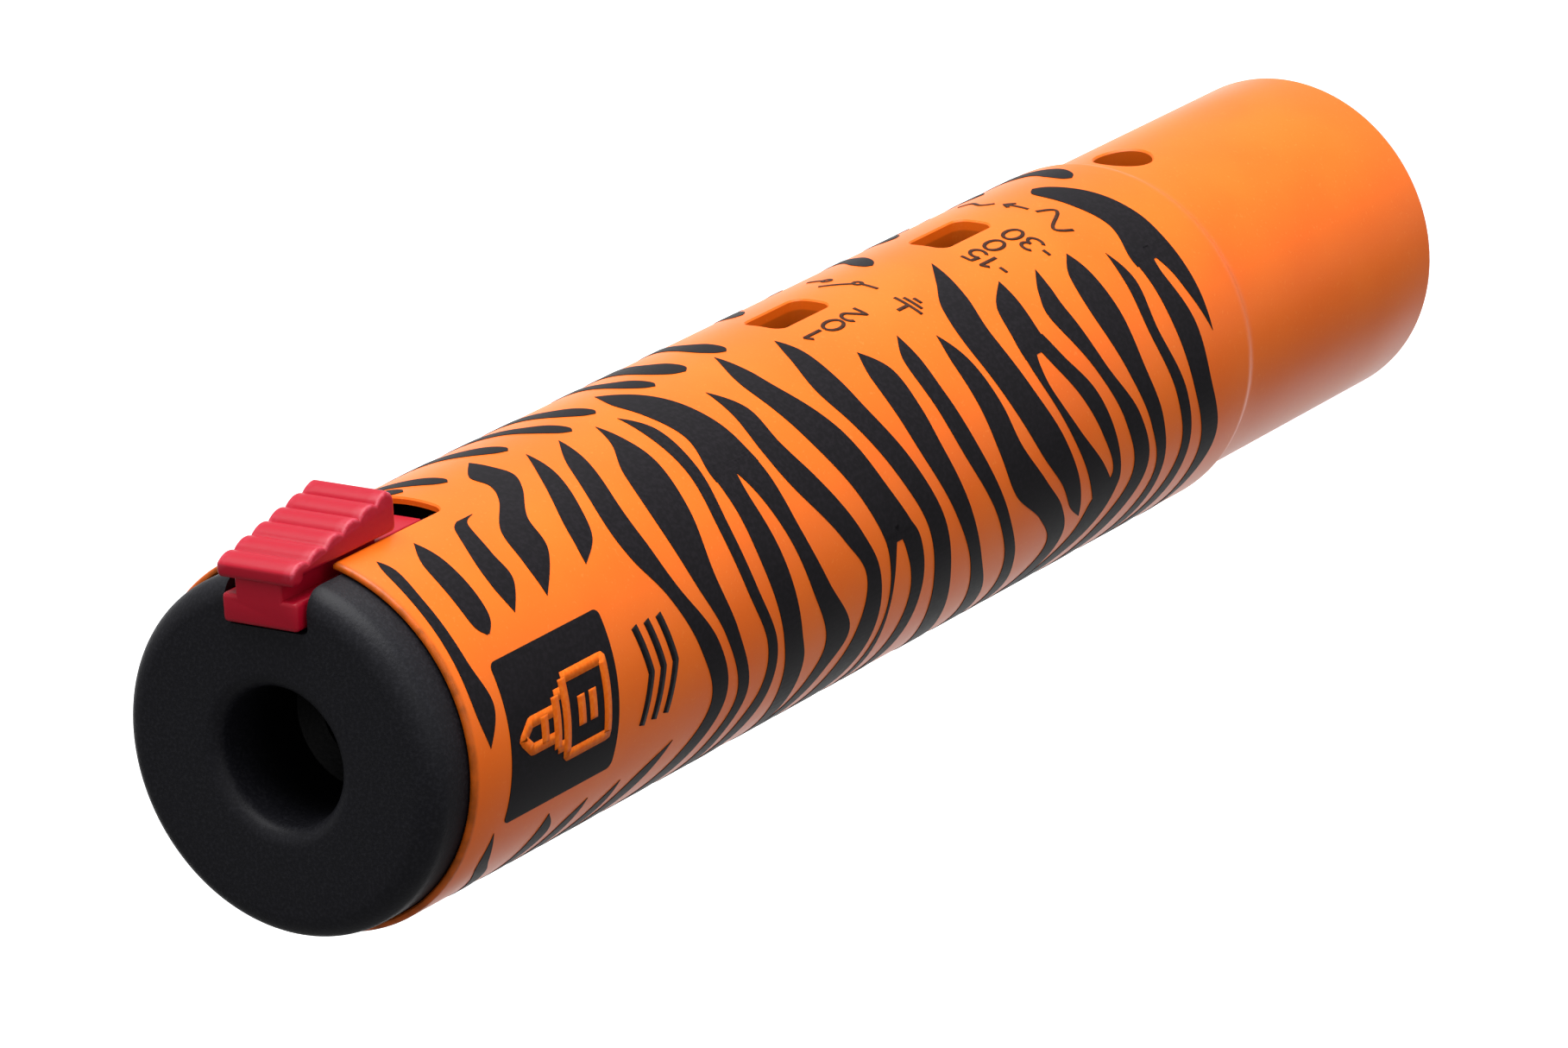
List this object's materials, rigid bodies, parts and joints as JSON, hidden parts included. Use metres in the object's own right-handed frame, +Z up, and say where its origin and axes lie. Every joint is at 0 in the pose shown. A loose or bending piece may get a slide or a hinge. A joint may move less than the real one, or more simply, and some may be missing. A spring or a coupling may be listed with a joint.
{
  "type": "inline direct box",
  "caption": "Round tube that turns a jack-plug instrument signal into a balanced microphone-level one, with a locking jack socket, two recessed slide switches and a male pin connector.",
  "frame": {"origin": "on the tube's axis, in the plane of the tube's rim at the jack end", "axes": "+X along the tube's axis from the jack end to the pin end, +Z up through the release slider and the switch windows"},
  "size_m": [0.1204, 0.024, 0.0265],
  "materials": {
    "orange_paint": "satin paint on metal",
    "black_moulding": "fine-grained matt",
    "red_plastic": "semi-gloss",
    "spring_metal": "bright",
    "steel": "plain",
    "black_steel": "black oxide",
    "green_board": "solder mask",
    "black_knob": "moulded",
    "can_metal": "plain",
    "film_plastic": "dipped",
    "resistor_body": "lacquered",
    "wire_sleeve": "sleeved",
    "pin_plating": "bright plate"
  },
  "bodies": {
    "housing": {"housing_tube": "orange_paint", "jack_nose": "black_moulding", "jack_cap": "black_moulding", "sleeve_contact": "spring_metal", "ring_contact": "spring_metal", "tip_contact": "spring_metal", "latch_pin": "steel", "circuit_board": "green_board", "ground_switch_case": "steel", "pad_switch_case": "steel", "switch_pins": "steel", "transformer": "can_metal", "capacitors": "film_plastic", "resistors": "resistor_body", "jack_wires": "wire_sleeve", "pin_wires": "wire_sleeve", "pin_insert": "black_moulding", "lock_screw": "black_steel", "connector_pin_1": "pin_plating", "connector_pin_2": "pin_plating", "connector_pin_3": "pin_plating", "slider_spring": "spring_metal"},
    "slider": {"release_slider": "red_plastic"},
    "latch": {"latch_pawl": "steel"},
    "ground_knob": {"ground_switch_knob": "black_knob"},
    "pad_knob": {"pad_switch_knob": "black_knob"}
  },
  "joints": [
    {"name": "slider_slide", "type": "slide", "parent": "housing", "child": "slider", "axis": [1, 0, 0], "range_m": [0, 0.0035], "stiffness_N_per_m": 400, "springref_m": -0.003, "deforming": ["slider_spring"]},
    {"name": "latch_rock", "type": "hinge", "parent": "housing", "child": "latch", "pos_m": [0.0171, 0, 0.0063], "axis": [0, -1, 0], "range_deg": [0, 9.5]},
    {"name": "ground_switch_slide", "type": "slide", "parent": "housing", "child": "ground_knob", "axis": [1, 0, 0], "range_m": [-0.002, 0.002]},
    {"name": "pad_switch_slide", "type": "slide", "parent": "housing", "child": "pad_knob", "axis": [1, 0, 0], "range_m": [-0.002, 0.002]}
  ],
  "couplings": [
    {"joint": "latch_rock", "follows": "slider_slide", "rad_per_m": 47.3}
  ]
}
